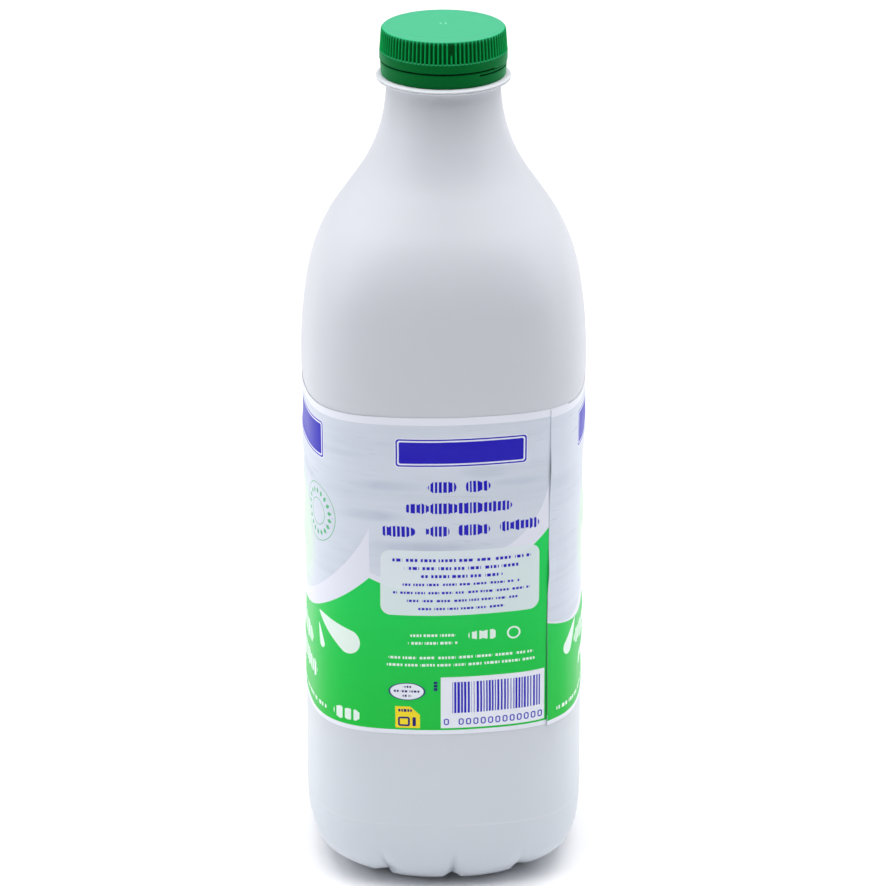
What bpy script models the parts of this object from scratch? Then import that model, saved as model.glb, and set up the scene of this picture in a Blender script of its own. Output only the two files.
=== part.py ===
# A full and shut milk bottle: rounded-square body, round neck, ribbed screw cap, wrap-round label.
# The origin is at the middle of the base, +Z is up, and the body's flat sides face the X and Y axes.
# Sizes are in millimetres and are turned into metres when the vertices are made.
import math

import bmesh
import bpy

MM = 0.001
CLEARANCE = 0.3

# The whole bottle
HEIGHT = 280.0
BODY_HALF_WIDTH = 45.65
BODY_SQUARENESS = 3.015
SIDE_FLATNESS = 0.007

# The foot: an oval heel, a standing ring and a shallow dome, crossed by short creases
HEEL_HALF_WIDTH = 45.42
HEEL_WIDTH = 15.0
HEEL_HEIGHT = 19.0
HEEL_STEPS = 5
STANDING_RING_WIDTH = 3.0
DOME_HEIGHT = 6.2
DOME_RINGS = 3
CREASE_COUNT = 10
CREASE_OFFSET = 3.1
CREASE_HALF_ANGLE = 4.5
CREASE_DEPTH = 2.0
CREASE_TOP = 10.0

# The label panel, which is waisted and sunk so that the label lies flush
LABEL_BOTTOM = 57.75
LABEL_TOP = 167.75
LABEL_THICKNESS = 0.3
WAIST_HALF_WIDTH = 45.2
WAIST_FLARE = 0.3
LAP_ANGLE = 39.3
LAP_WIDTH_ANGLE = 9.0
LAP_LIFT = 0.25

# The shoulder: a wide arc, a tighter arc, a straight cone and a hollow arc into the neck
SHOULDER_START = 172.0
WIDE_ARC_RADIUS = 164.0
WIDE_ARC_LEAN = 9.3
SHOULDER_ARC_RADIUS = 59.0
CONE_LEAN = 34.0
NECK_ARC_RADIUS = 54.0
ROUNDING_START = 191.0
ROUNDING_END = 255.5

# The neck and its support ring
NECK_RADIUS = 17.9
SUPPORT_RING_RADIUS = 21.07
SUPPORT_RING_BOTTOM = 263.0
SUPPORT_RING_TOP = 264.5
SUPPORT_RING_ROUNDING = 0.35

# The cap and its tamper band
CAP_BOTTOM = 264.95
CAP_RADIUS = 19.95
CAP_TOP_RADIUS = 18.7
CAP_WALL_TOP = 1.45
CAP_BORE_RADIUS = 18.35
RIB_COUNT = 88
RIB_OFFSET = -0.45
RIB_HALF_ANGLE = 0.75
RIB_FOOT_HALF_ANGLE = 1.15
RIB_DEPTH = 0.45
RIB_BOTTOM = 272.4
RIB_TOP = 279.2
RIB_BOTTOM_RADIUS = 19.85
RIB_TOP_RADIUS = 19.55
SHORT_RIB_INDEX = 1
SHORT_RIB_TOP = 274.9
SLIT_TOP = 269.75
SLIT_BOTTOM = 269.35
SLIT_RADIUS = 19.0
BAND_TOP_RADIUS = 19.6
BAND_BOTTOM_RADIUS = 19.45
BAND_ROUNDING = 0.3

LOOP_OFFSETS = (-CREASE_HALF_ANGLE, 0.0, CREASE_HALF_ANGLE, 11.25, 18.0, 24.75)


def clear_scene():
    for item in list(bpy.data.objects):
        bpy.data.objects.remove(item, do_unlink=True)


def smooth_step(value, low, high):
    share = min(max((value - low) / (high - low), 0.0), 1.0)
    return share * share * (3.0 - 2.0 * share)


def squareness_at(height):
    return BODY_SQUARENESS + (2.0 - BODY_SQUARENESS) * smooth_step(height, ROUNDING_START, ROUNDING_END)


def section_radius(reach, squareness, angle):
    # A rounded square whose middle sides lie at reach; squareness 2 gives a circle.
    power_sum = abs(math.cos(angle)) ** squareness + abs(math.sin(angle)) ** squareness
    flatness = SIDE_FLATNESS * min(squareness - 2.0, 1.0)
    return reach / power_sum ** (1.0 / squareness) * (1.0 + flatness * (math.cos(8.0 * angle) - 1.0))


def place(radius, angle, height):
    # Angles run from the -Y side towards +X.
    return (radius * math.sin(angle) * MM, -radius * math.cos(angle) * MM, height * MM)


def label_reach(height):
    share = (height - 0.5 * (LABEL_BOTTOM + LABEL_TOP)) / (0.5 * (LABEL_TOP - LABEL_BOTTOM))
    return WAIST_HALF_WIDTH + WAIST_FLARE * share * share


def body_angles():
    angles = []
    for sector in range(CREASE_COUNT):
        start = CREASE_OFFSET + sector * 360.0 / CREASE_COUNT
        angles += [math.radians(start + offset) for offset in LOOP_OFFSETS]
    return angles


def crease_lift(index, height):
    # Full at a crease's own line, nothing at the lines beside it, and fading up the heel.
    at_crease = index % len(LOOP_OFFSETS) == 1
    return CREASE_DEPTH * max(0.0, 1.0 - height / CREASE_TOP) if at_crease else 0.0


def add_loop(bm, angles, reach, height, squareness):
    points = [place(section_radius(reach, squareness, angle), angle, height) for angle in angles]
    return [bm.verts.new(point) for point in points]


def add_round_loop(bm, angles, radius, height):
    return [bm.verts.new(place(radius, angle, height)) for angle in angles]


def skin(bm, loops):
    for first, second in zip(loops, loops[1:]):
        for index in range(len(first)):
            following = (index + 1) % len(first)
            bm.faces.new((first[index], first[following], second[following], second[index]))


def close_with_pole(bm, loop, height):
    pole = bm.verts.new((0.0, 0.0, height * MM))
    for index in range(len(loop)):
        bm.faces.new((pole, loop[index], loop[(index + 1) % len(loop)]))


def finish(bm, name, material, sharp_angle=32.0):
    bmesh.ops.recalc_face_normals(bm, faces=bm.faces)
    mesh = bpy.data.meshes.new(name)
    bm.to_mesh(mesh)
    bm.free()
    mesh.shade_smooth()
    mesh.set_sharp_from_angle(angle=math.radians(sharp_angle))
    mesh.materials.append(material)
    item = bpy.data.objects.new(name, mesh)
    bpy.context.collection.objects.link(item)
    return item


def make_material(name, colour, roughness):
    material = bpy.data.materials.new(name)
    material.use_nodes = True
    shader = material.node_tree.nodes["Principled BSDF"]
    shader.inputs["Base Color"].default_value = (*colour, 1.0)
    shader.inputs["Roughness"].default_value = roughness
    shader.inputs["Metallic"].default_value = 0.0
    return material


def foot_loops(bm, angles):
    # From the dome under the base, over the standing ring and round the oval heel.
    standing_reach = HEEL_HALF_WIDTH - HEEL_WIDTH
    dome_reach = standing_reach - STANDING_RING_WIDTH
    rows = []
    for step in range(1, DOME_RINGS + 1):
        share = step / (DOME_RINGS + 1)
        rows.append((dome_reach * share, DOME_HEIGHT * (1.0 - share * share)))
    rows += [(dome_reach, 0.0), (standing_reach, 0.0)]
    for step in range(1, HEEL_STEPS + 1):
        turn = math.radians(90.0 * step / HEEL_STEPS)
        rows.append((standing_reach + HEEL_WIDTH * math.sin(turn), HEEL_HEIGHT * (1.0 - math.cos(turn))))
    loops = []
    for reach, height in rows:
        squareness = 2.0 + (BODY_SQUARENESS - 2.0) * smooth_step(reach, 0.0, dome_reach)
        loop = add_loop(bm, angles, reach, height, squareness)
        for index, vertex in enumerate(loop):
            if reach >= dome_reach:
                vertex.co.z += crease_lift(index, height) * MM
        loops.append(loop)
    return loops


def panel_rows():
    # The step into the sunk panel, its waisted wall, and the step out above the label.
    sink = LABEL_THICKNESS + CLEARANCE
    edge = CLEARANCE + 0.05
    rows = [(label_reach(LABEL_BOTTOM), LABEL_BOTTOM - 2 * edge)]
    for share in (0.0, 0.5, 1.0):
        low = LABEL_BOTTOM - edge
        height = low + share * (LABEL_TOP + edge - low)
        rows.append((label_reach(height) - sink, height))
    rows.append((label_reach(LABEL_TOP) + 0.06, LABEL_TOP + 2 * edge))
    return rows


def shoulder_rows():
    rows = [(BODY_HALF_WIDTH, SHOULDER_START)]
    wide, cone = math.radians(WIDE_ARC_LEAN), math.radians(CONE_LEAN)
    for step in (0.5, 1.0):
        lean = wide * step
        rows.append((BODY_HALF_WIDTH - WIDE_ARC_RADIUS * (1.0 - math.cos(lean)),
                     SHOULDER_START + WIDE_ARC_RADIUS * math.sin(lean)))
    reach, height = rows[-1]
    for step in (0.2, 0.4, 0.6, 0.8, 1.0):
        lean = wide + (cone - wide) * step
        rows.append((reach - SHOULDER_ARC_RADIUS * (math.cos(wide) - math.cos(lean)),
                     height + SHOULDER_ARC_RADIUS * (math.sin(lean) - math.sin(wide))))
    reach, height = rows[-1]
    cone_end = NECK_RADIUS + NECK_ARC_RADIUS * (1.0 - math.cos(cone))
    arc_base = height + (reach - cone_end) / math.tan(cone) + NECK_ARC_RADIUS * math.sin(cone)
    for step in (1.0, 0.8, 0.6, 0.4, 0.2, 0.0):
        lean = cone * step
        rows.append((NECK_RADIUS + NECK_ARC_RADIUS * (1.0 - math.cos(lean)),
                     arc_base - NECK_ARC_RADIUS * math.sin(lean)))
    return rows


def neck_rows():
    # The support ring and the plain neck that the cap covers.
    rounding = SUPPORT_RING_ROUNDING
    return [
        (SUPPORT_RING_RADIUS - rounding, SUPPORT_RING_BOTTOM),
        (SUPPORT_RING_RADIUS, SUPPORT_RING_BOTTOM + rounding),
        (SUPPORT_RING_RADIUS, SUPPORT_RING_TOP - rounding),
        (SUPPORT_RING_RADIUS - rounding, SUPPORT_RING_TOP),
        (NECK_RADIUS, SUPPORT_RING_TOP),
        (NECK_RADIUS, HEIGHT - CAP_WALL_TOP - CLEARANCE - 0.05),
    ]


def make_bottle():
    bm = bmesh.new()
    angles = body_angles()
    loops = foot_loops(bm, angles)
    for reach, height in panel_rows() + shoulder_rows():
        loops.append(add_loop(bm, angles, reach, height, squareness_at(height)))
    for radius, height in neck_rows():
        loops.append(add_round_loop(bm, angles, radius, height))
    skin(bm, loops)
    close_with_pole(bm, loops[0], DOME_HEIGHT)
    close_with_pole(bm, loops[-1], neck_rows()[-1][1])
    return finish(bm, "bottle", make_material("white bottle plastic", (0.80, 0.83, 0.88), 0.32))


def lap_lift(angle):
    # The sleeve's end lies over its start: highest at the visible edge, then fading out.
    past_edge = math.degrees(angle) - LAP_ANGLE
    return LAP_LIFT * (1.0 - past_edge / LAP_WIDTH_ANGLE) if 0.0 <= past_edge < LAP_WIDTH_ANGLE else 0.0


def make_label():
    bm = bmesh.new()
    edge = math.radians(LAP_ANGLE)
    angles = sorted(body_angles() + [edge - math.radians(0.15), edge])
    heights = (LABEL_BOTTOM, 0.5 * (LABEL_BOTTOM + LABEL_TOP), LABEL_TOP)
    loops = []
    for height in heights:
        squareness = squareness_at(height)
        loop = []
        for angle in angles:
            radius = section_radius(label_reach(height), squareness, angle) + lap_lift(angle)
            loop.append(bm.verts.new(place(radius, angle, height)))
        loops.append(loop)
    for height in reversed(heights):
        loops.append(add_loop(bm, angles, label_reach(height) - LABEL_THICKNESS, height, squareness_at(height)))
    skin(bm, loops + [loops[0]])
    return finish(bm, "label", make_material("printed label", (0.20, 0.55, 0.28), 0.45))


def rib_radius(height):
    share = (height - RIB_BOTTOM) / (RIB_TOP - RIB_BOTTOM)
    return RIB_BOTTOM_RADIUS + (RIB_TOP_RADIUS - RIB_BOTTOM_RADIUS) * share


def make_rib_columns(bm, centre, is_short):
    # Four upright rows of vertices: groove floor, rib, rib, groove floor, each at three heights.
    # A short rib has a second set above its top, back at the groove floor.
    foot, half = math.radians(RIB_FOOT_HALF_ANGLE), math.radians(RIB_HALF_ANGLE)
    heights = (RIB_BOTTOM, SHORT_RIB_TOP, RIB_TOP)
    columns = []
    for offset, depth in ((-foot, RIB_DEPTH), (-half, 0.0), (half, 0.0), (foot, RIB_DEPTH)):
        column = [bm.verts.new(place(rib_radius(z) - depth, centre + offset, z)) for z in heights]
        columns.append({"low": column[:2], "high": column[1:]})
    if is_short:
        for column, offset in ((columns[1], -half), (columns[2], half)):
            bm.verts.remove(column["high"][1])
            column["high"] = [
                bm.verts.new(place(rib_radius(z) - RIB_DEPTH, centre + offset, z)) for z in heights[1:]
            ]
    return columns


def skin_ribs(bm, ribs, lower_ring, upper_ring):
    for index, rib in enumerate(ribs):
        following = ribs[(index + 1) % len(ribs)]
        row = rib + [following[0]]
        for first, second in zip(row, row[1:]):
            for part in ("low", "high"):
                bm.faces.new((first[part][0], second[part][0], second[part][1], first[part][1]))
        if rib[1]["low"][1] is not rib[1]["high"][0]:
            left_out, left_in = rib[1]["low"][1], rib[1]["high"][0]
            right_out, right_in = rib[2]["low"][1], rib[2]["high"][0]
            bm.faces.new((left_out, right_out, right_in, left_in))
            bm.faces.new((rib[0]["low"][1], left_out, left_in))
            bm.faces.new((right_out, rib[3]["low"][1], right_in))
        for ring, part, level in ((lower_ring, "low", 0), (upper_ring, "high", 1)):
            here, there = ring[index], ring[(index + 1) % len(ring)]
            contour = [column[part][level] for column in rib]
            for left, right in zip(contour, contour[1:]):
                bm.faces.new((here, left, right))
            bm.faces.new((here, contour[-1], following[0][part][level], there))


def make_cap():
    bm = bmesh.new()
    pitch = 2.0 * math.pi / RIB_COUNT
    angles = [math.radians(RIB_OFFSET) + pitch * index for index in range(RIB_COUNT)]
    top_rows = [
        (CAP_TOP_RADIUS, HEIGHT),
        (0.5 * (CAP_TOP_RADIUS + RIB_TOP_RADIUS) + 0.1, HEIGHT - 0.15),
        (RIB_TOP_RADIUS, RIB_TOP + 0.2),
    ]
    side_rows = [
        (CAP_RADIUS, RIB_BOTTOM - 0.1),
        (CAP_RADIUS - 0.02, SLIT_TOP),
        (SLIT_RADIUS, SLIT_TOP - 0.05),
        (SLIT_RADIUS, SLIT_BOTTOM + 0.05),
        (BAND_TOP_RADIUS, SLIT_BOTTOM),
        (BAND_BOTTOM_RADIUS, CAP_BOTTOM + BAND_ROUNDING),
        (BAND_BOTTOM_RADIUS - BAND_ROUNDING, CAP_BOTTOM),
        (CAP_BORE_RADIUS, CAP_BOTTOM),
        (CAP_BORE_RADIUS, HEIGHT - CAP_WALL_TOP),
    ]
    top = [add_round_loop(bm, angles, radius, height) for radius, height in top_rows]
    side = [add_round_loop(bm, angles, radius, height) for radius, height in side_rows]
    ribs = [make_rib_columns(bm, angle, index == SHORT_RIB_INDEX) for index, angle in enumerate(angles)]
    skin(bm, top)
    skin(bm, side)
    skin_ribs(bm, ribs, side[0], top[-1])
    close_with_pole(bm, top[0], HEIGHT)
    close_with_pole(bm, side[-1], HEIGHT - CAP_WALL_TOP)
    return finish(bm, "cap", make_material("green cap plastic", (0.01, 0.30, 0.09), 0.35))


clear_scene()
make_bottle()
make_label()
make_cap()
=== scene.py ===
# A full plastic milk bottle: white rounded-square bottle, ribbed green screw cap, printed label.
# Sizes are millimetres, and angles are degrees from the front (-Y) towards +X, unless a note
# says otherwise.
import math

import bpy
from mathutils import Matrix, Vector, noise


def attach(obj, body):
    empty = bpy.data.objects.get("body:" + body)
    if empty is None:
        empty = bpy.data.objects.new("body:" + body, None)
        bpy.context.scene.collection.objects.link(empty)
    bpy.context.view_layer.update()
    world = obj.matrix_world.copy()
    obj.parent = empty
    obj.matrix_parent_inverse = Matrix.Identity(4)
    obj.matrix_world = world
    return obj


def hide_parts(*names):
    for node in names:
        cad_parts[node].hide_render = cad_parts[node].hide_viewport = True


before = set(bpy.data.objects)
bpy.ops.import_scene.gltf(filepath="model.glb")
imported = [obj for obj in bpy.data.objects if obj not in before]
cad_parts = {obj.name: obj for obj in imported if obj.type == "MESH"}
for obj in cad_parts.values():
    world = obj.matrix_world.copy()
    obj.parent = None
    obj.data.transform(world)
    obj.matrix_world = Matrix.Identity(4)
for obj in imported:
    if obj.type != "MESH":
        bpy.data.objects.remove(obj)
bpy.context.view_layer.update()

mm = 0.001


def smoothStep(value, low, high):
    share = min(max((value - low) / (high - low), 0.0), 1.0)
    return share * share * (3.0 - 2.0 * share)


def bell(value, width):
    return math.exp(-(value / width) ** 2)


def shares(count):
    return [step / count for step in range(1, count + 1)]


def ringPoint(radius, angle, height):  # angle in radians
    return Vector((radius * math.sin(angle), -radius * math.cos(angle), height)) * mm


def turnProfile(name, rows, wedges, stepsPerWedge):
    # One vertex is pulled along the outline, the line is spun into a wedge, and the wedge is
    # copied all round.
    bpy.ops.object.select_all(action="DESELECT")
    bpy.ops.mesh.primitive_circle_add(vertices=3, radius=mm, location=(0.0, 0.0, 0.0))
    piece = bpy.context.object
    piece.name = name
    piece.data.name = name
    bpy.ops.object.mode_set(mode="EDIT")
    bpy.ops.mesh.select_all(action="SELECT")
    bpy.ops.mesh.merge(type="CENTER")
    bpy.ops.transform.translate(value=(rows[0][0] * mm, 0.0, rows[0][1] * mm))
    for (radius, height), (nextRadius, nextHeight) in zip(rows, rows[1:]):
        step = ((nextRadius - radius) * mm, 0.0, (nextHeight - height) * mm)
        bpy.ops.mesh.extrude_vertices_move(TRANSFORM_OT_translate={"value": step})
    wedge = 2.0 * math.pi / wedges
    upright = {"center": (0.0, 0.0, 0.0), "axis": (0.0, 0.0, 1.0)}
    bpy.ops.mesh.select_all(action="SELECT")
    bpy.ops.mesh.spin(steps=stepsPerWedge, angle=wedge, **upright)
    bpy.ops.mesh.select_all(action="SELECT")
    bpy.ops.mesh.spin(steps=wedges - 1, angle=wedge * (wedges - 1), dupli=True, **upright)
    bpy.ops.mesh.select_all(action="SELECT")
    bpy.ops.mesh.remove_doubles(threshold=0.002 * mm)
    bpy.ops.mesh.normals_make_consistent(inside=False)
    bpy.ops.object.mode_set(mode="OBJECT")
    return piece


def movePoints(piece, place):
    # place(radius, angle, height) gives each point's new radius, angle and height.
    for point in piece.data.vertices:
        x, y, z = point.co / mm
        point.co = ringPoint(*place(math.hypot(x, y), math.atan2(x, -y), z))
    piece.data.update()


def arcRows(centreRadius, centreHeight, radius, startLean, endLean, steps):
    # Lean 0 is the outermost point of the arc and 90 its top.
    rows = []
    for share in shares(steps):
        lean = math.radians(startLean + (endLean - startLean) * share)
        place = (centreRadius + radius * math.cos(lean), centreHeight + radius * math.sin(lean))
        rows.append(place)
    return rows


def smoothShade(piece, angle):
    bpy.ops.object.select_all(action="DESELECT")
    piece.select_set(True)
    bpy.context.view_layer.objects.active = piece
    bpy.ops.object.shade_smooth_by_angle(angle=math.radians(angle))


def finishPiece(piece, node, finish):
    piece.data.materials.clear()
    piece.data.materials.append(finish.material)
    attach(piece, "root")
    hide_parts(node)


class Field:
    # A number, vector or colour that varies over a surface, used like a number in an expression.
    def __init__(self, finish, socket):
        self.finish = finish
        self.socket = socket

    def maths(self, operation, *others, clamp=False):
        settings = {"operation": operation, "use_clamp": clamp}
        return self.finish.add("ShaderNodeMath", settings, dict(enumerate((self, *others))))

    def __add__(self, other):
        return self.maths("ADD", other)

    def __sub__(self, other):
        return self.maths("SUBTRACT", other)

    def __rsub__(self, other):
        return self.finish.add("ShaderNodeMath", {"operation": "SUBTRACT"}, {0: other, 1: self})

    def __mul__(self, other):
        return self.maths("MULTIPLY", other)

    def __pow__(self, other):
        return self.maths("POWER", other)

    def __abs__(self):
        return self.maths("ABSOLUTE")

    __radd__ = __add__
    __rmul__ = __mul__

    def below(self, limit):
        return self.maths("LESS_THAN", limit)

    def above(self, limit):
        return self.maths("GREATER_THAN", limit)

    def clamped(self):
        return self.maths("ADD", 0.0, clamp=True)

    def between(self, low, high):
        return self.above(low) * self.below(high)


class Finish:
    # A material in the making, with its tones. Every node but the shader comes from add.
    def __init__(self, name, tones, **constants):
        self.tones = tones
        self.material = bpy.data.materials.new(name)
        self.material.use_nodes = True
        self.tree = self.material.node_tree
        self.shader = self.tree.nodes["Principled BSDF"]
        for socket, value in constants.items():
            self.shader.inputs[socket].default_value = value

    def feed(self, socket, value):
        if isinstance(value, Field):
            self.tree.links.new(value.socket, socket)
        else:
            socket.default_value = value

    def add(self, kind, settings=None, sockets=None, output=0):
        node = self.tree.nodes.new(kind)
        for name, value in (settings or {}).items():
            setattr(node, name, value)
        for key, value in (sockets or {}).items():
            self.feed(node.inputs[key], value)
        return Field(self, node.outputs[output])

    def surface(self, socket, value):
        self.feed(self.shader.inputs[socket], value)

    def places(self):
        return self.add("ShaderNodeTexCoord", output="Object")

    def parts(self, vector):
        separate = self.add("ShaderNodeSeparateXYZ", None, {0: vector})
        outputs = separate.socket.node.outputs
        return [Field(self, outputs[index]) for index in range(3)]

    def joined(self, x, y, z=0.0):
        return self.add("ShaderNodeCombineXYZ", None, {0: x, 1: y, 2: z})

    def vector(self, operation, first, second, output=0):
        sockets = {0: first, 1: second}
        return self.add("ShaderNodeVectorMath", {"operation": operation}, sockets, output)

    def scaled(self, vector, factor):
        sockets = {0: vector, "Scale": factor}
        return self.add("ShaderNodeVectorMath", {"operation": "SCALE"}, sockets)

    def length(self, vector):
        return self.add("ShaderNodeVectorMath", {"operation": "LENGTH"}, {0: vector}, "Value")

    def blend(self, share, first, second):
        return self.add("ShaderNodeMix", {"data_type": "RGBA"}, {0: share, 6: first, 7: second}, 2)

    def paint(self, share, colour, name):
        return self.blend(share, colour, tone(*self.tones[name]))

    def between(self, share, name):  # from the first to the second of a pair of tones
        first, second = self.tones[name]
        return self.blend(share, tone(*first), tone(*second))

    def grain(self, vector, scale, detail=2.0, roughness=0.5):
        sockets = {"Vector": vector, "Scale": scale, "Detail": detail, "Roughness": roughness}
        return self.add("ShaderNodeTexNoise", {"noise_dimensions": "3D"}, sockets)

    def specks(self, vector, scale, size, rarity):
        # Small round marks in a few of the cells of a pattern, 1 at the mark.
        cell = self.add("ShaderNodeTexVoronoi", None, {"Vector": vector, "Scale": scale})
        colour = Field(self, cell.socket.node.outputs["Color"])
        chance, spread, _ = self.parts(colour)
        return cell.below(size * (0.4 + spread)) * chance.above(rarity)

    def bump(self, height, distance):
        sockets = {"Height": height, "Distance": distance * mm}
        self.surface("Normal", self.add("ShaderNodeBump", None, sockets))


def tone(red, green, blue):
    # A colour as it reads on a screen, 0 to 255, made linear for the shaders.
    linear = []
    for value in (red / 255.0, green / 255.0, blue / 255.0):
        linear.append(value / 12.92 if value <= 0.04045 else ((value + 0.055) / 1.055) ** 2.4)
    return (*linear, 1.0)


bottle = {
    "wedges": 40,
    "stepsPerWedge": 13,
    "halfWidth": 45.61,
    "squareness": 3.015,
    "footSquareness": 2.36,
    "footBlend": (1.9, 12.1),
    "sideFlatness": 0.007,
    "domeHeight": 6.2,
    "domeReach": 27.42,
    "standingReach": 30.42,
    "heelReach": 45.42,
    "heelHeight": 19.0,
    "mouldLine": 25.4,
    "mouldLineRise": 0.17,
    # heights from the mould line, and the share of its rise there
    "mouldLineRows": ((-6.0, 0.0), (-4.5, 0.16), (-3.0, 0.42), (-1.5, 0.75), (-0.45, 0.98),
                      (-0.3, 1.0), (0.25, 0.05), (0.4, 0.0), (1.5, 0.0), (4.0, 0.0)),
    "creases": 10,
    "creaseOffset": 2.769,
    "creaseHalfAngle": 4.3,
    "creaseDepth": 2.9,
    "valleyHalfAngle": 12.0,
    "valleyDepth": 0.9,
    "valleyPower": 2.3,
    "creaseTop": 19.0,
    "creaseTurn": 4.0,        # the folds' push turns from upwards to inwards by this height
    "creaseLean": 5.0,
    "panelBottom": 57.75,
    "panelTop": 167.75,
    "waistHalfWidth": 45.2,
    "waistFlare": 0.3,
    "underLabel": 0.34,
    "labelRest": 0.15,
    "restBand": 2.6,
    "shoulderStart": 172.0,
    "wideArc": 164.0,
    "wideLean": 9.3,
    "shoulderArc": 59.0,
    "coneLean": 34.0,
    "neckArc": 54.0,
    "roundingStart": 191.0,
    "roundingEnd": 255.5,
    "neckRadius": 17.9,
    "neckTop": 278.2,
    "ringRadius": 21.07,
    "ringLine": 263.75,
    "ringTop": 264.84,
}


def sectionFactor(squareness, angle):
    # How far a rounded square reaches at this angle, where the middle of its side counts as 1.
    powers = abs(math.cos(angle)) ** squareness + abs(math.sin(angle)) ** squareness
    flatness = bottle["sideFlatness"] * min(squareness - 2.0, 1.0)
    return (1.0 + flatness * (math.cos(8.0 * angle) - 1.0)) / powers ** (1.0 / squareness)


def labelReach(height):
    # The label panel is waisted, and the label's face lies at this half width.
    middle = 0.5 * (bottle["panelBottom"] + bottle["panelTop"])
    share = (height - middle) / (bottle["panelTop"] - middle)
    return bottle["waistHalfWidth"] + bottle["waistFlare"] * share * share


def footRows():
    rows = [(0.0, bottle["domeHeight"])]
    for share in shares(16):
        rows.append((bottle["domeReach"] * share, bottle["domeHeight"] * (1.0 - share * share)))
    rows.append((0.5 * (bottle["domeReach"] + bottle["standingReach"]), 0.0))
    heelWidth = bottle["heelReach"] - bottle["standingReach"]
    for share in (0.0, *shares(24)):
        turn = math.radians(90.0 * share)
        height = bottle["heelHeight"] * (1.0 - math.cos(turn))
        rows.append((bottle["standingReach"] + heelWidth * math.sin(turn), height))
    return rows


def wallRows():
    # The mould line is a step: a sharp top edge and a long fall below it.
    line, rise, rest = bottle["mouldLine"], bottle["mouldLineRise"], bottle["labelRest"]
    rows = [(bottle["heelReach"] + rise * share, line + offset)
            for offset, share in bottle["mouldLineRows"]]
    start, (low, high) = rows[-1], (bottle["panelBottom"], bottle["panelTop"])
    for share in (0.25, 0.5, 0.75):
        reach = start[0] + (labelReach(low) - rest - start[0]) * share
        rows.append((reach, start[1] + (low - start[1]) * share))
    # The label lies on a narrow band at its top and bottom, and over a slight hollow between.
    for share in (0.0, *shares(44)):
        height = low + (high - low) * share
        hollow = smoothStep(min(height - low, high - height), 0.0, bottle["restBand"])
        rows.append((labelReach(height) - rest - (bottle["underLabel"] - rest) * hollow, height))
    reach = labelReach(high) - rest
    top = bottle["shoulderStart"] - 0.6
    for share in shares(6):
        outward = (bottle["halfWidth"] - reach) * math.sin(0.5 * math.pi * share) ** 1.3
        rows.append((reach + outward, high + (top - high) * share))
    return rows


def shoulderRows():
    # A wide arc, a tighter one, a straight cone, and a hollow arc that runs out into the neck.
    start, wide, cone = bottle["shoulderStart"], bottle["wideLean"], bottle["coneLean"]
    rows = [(bottle["halfWidth"], start)]
    rows += arcRows(bottle["halfWidth"] - bottle["wideArc"], start, bottle["wideArc"], 0.0, wide, 8)
    reach, height = rows[-1]
    tight, lean = bottle["shoulderArc"], math.radians(wide)
    centre = (reach - tight * math.cos(lean), height - tight * math.sin(lean))
    rows += arcRows(*centre, tight, wide, cone, 16)
    reach, height = rows[-1]
    hollow = bottle["neckArc"]
    coneEnd = bottle["neckRadius"] + hollow * (1.0 - math.cos(math.radians(cone)))
    coneTop = height + (reach - coneEnd) / math.tan(math.radians(cone))
    for share in shares(8):
        rows.append((reach + (coneEnd - reach) * share, height + (coneTop - height) * share))
    arcTop = coneTop + hollow * math.sin(math.radians(cone))
    rows += arcRows(bottle["neckRadius"] + hollow, arcTop, hollow, 180.0 + cone, 180.0, 22)
    return rows


def neckRows():
    # The support ring has a broad upper lip, a fine groove and a narrow lower bead.
    ring, top, reach = bottle["ringLine"], bottle["ringTop"], bottle["ringRadius"]
    rows = [(bottle["neckRadius"] + 0.2, ring - 0.45), (reach - 0.6, ring - 0.42)]
    rows += arcRows(reach - 0.42, ring - 0.14, 0.26, -90.0, 20.0, 5)
    rows += [(reach - 0.3, ring - 0.03), (reach - 0.42, ring + 0.04), (reach - 0.22, ring + 0.14)]
    lipFoot, lipWidth = ring + 0.4, 1.3
    for share in shares(7):
        turn = math.radians(90.0 * share)
        height = lipFoot + (top - lipFoot) * math.sin(turn)
        rows.append((reach - lipWidth * (1.0 - math.cos(turn)), height))
    neck, neckTop = bottle["neckRadius"], bottle["neckTop"]
    return rows + [(neck, top + 0.01), (neck, neckTop), (0.0, neckTop)]


def creaseDepth(angle, height):
    # Each fold across the foot is a sharp notch in a soft valley, and fades up the heel.
    pitch = 360.0 / bottle["creases"]
    turned = math.degrees(angle) - bottle["creaseOffset"]
    offset = abs((turned + 0.5 * pitch) % pitch - 0.5 * pitch)
    notch = max(0.0, 1.0 - offset / bottle["creaseHalfAngle"])
    valley = max(0.0, 1.0 - offset / bottle["valleyHalfAngle"]) ** bottle["valleyPower"]
    depth = bottle["creaseDepth"] * notch + bottle["valleyDepth"] * valley
    return depth * (1.0 - smoothStep(height, 0.0, bottle["creaseTop"]))


def creaseBend(angle, height):
    # The folds lean towards the middle of each side as they rise, which dies out up the wall.
    lean = math.sin(4.0 * angle) - 0.6 * math.sin(8.0 * angle)
    rise = smoothStep(height, 0.0, 7.0) * (1.0 - smoothStep(height, 12.0, 50.0))
    return math.radians(bottle["creaseLean"]) * lean * rise


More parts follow.
